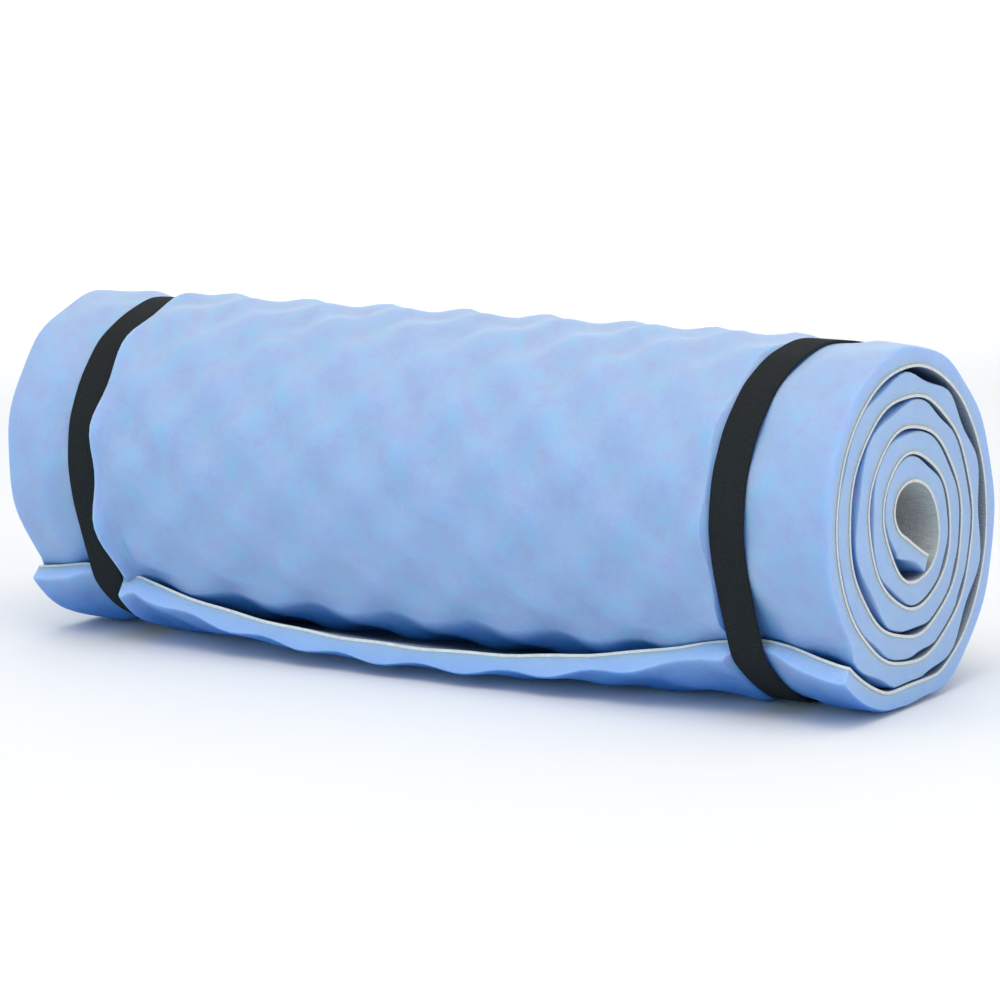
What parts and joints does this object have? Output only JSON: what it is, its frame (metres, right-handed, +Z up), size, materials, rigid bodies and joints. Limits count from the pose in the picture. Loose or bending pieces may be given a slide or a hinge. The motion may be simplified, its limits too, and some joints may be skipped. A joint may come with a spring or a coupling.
{
  "type": "rolled foam sleeping pad",
  "caption": "Closed-cell foam sleeping pad rolled into a cylinder, egg-crate face outwards and lining inwards, held by black elastic strap loops.",
  "frame": {"origin": "on the floor under the middle of the roll as it lies on its side", "axes": "X along the roll, with the left strap at -X and the right strap at +X; -Y is the front, where the free end of the sheet shows; +Z up"},
  "size_m": [0.5, 0.181, 0.1827],
  "materials": {
    "foam": "matte",
    "lining": "matte",
    "webbing": "matte",
    "thread": "matte"
  },
  "bodies": {
    "pad": {"foam_sheet": "foam", "backing_layer": "lining"},
    "left_loop": {"left_strap": "webbing", "left_strap_stitching": "thread"},
    "right_loop": {"right_strap": "webbing", "right_strap_stitching": "thread"}
  },
  "joints": [
    {"name": "left_loop_slide", "type": "slide", "parent": "pad", "child": "left_loop", "axis": [-1, 0, 0], "range_m": [0, 0.075]},
    {"name": "right_loop_slide", "type": "slide", "parent": "pad", "child": "right_loop", "axis": [1, 0, 0], "range_m": [0, 0.075]}
  ]
}
